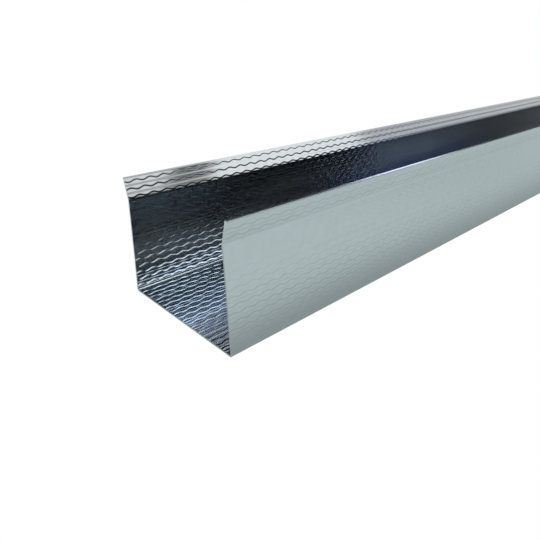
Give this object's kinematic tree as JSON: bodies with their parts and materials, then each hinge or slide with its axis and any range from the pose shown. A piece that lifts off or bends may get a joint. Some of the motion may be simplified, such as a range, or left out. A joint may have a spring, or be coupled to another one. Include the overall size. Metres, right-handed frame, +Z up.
{
  "type": "drywall track",
  "caption": "Straight U-shaped drywall track of thin embossed zinc-coated steel, with toed-in legs and flared lips, fastened to floor or ceiling to hold the ends of wall studs.",
  "frame": {"origin": "middle of the web's underside, at mid-length", "axes": "+X along the track, +Y across the web, +Z up out of the channel's open side"},
  "size_m": [3.048, 0.0412, 0.0318],
  "materials": {
    "zinc_coated_sheet": "bright zinc coating, embossed all over with fine wavy ridges"
  },
  "bodies": {
    "root": {"drywall_track": "zinc_coated_sheet"}
  },
  "joints": []
}
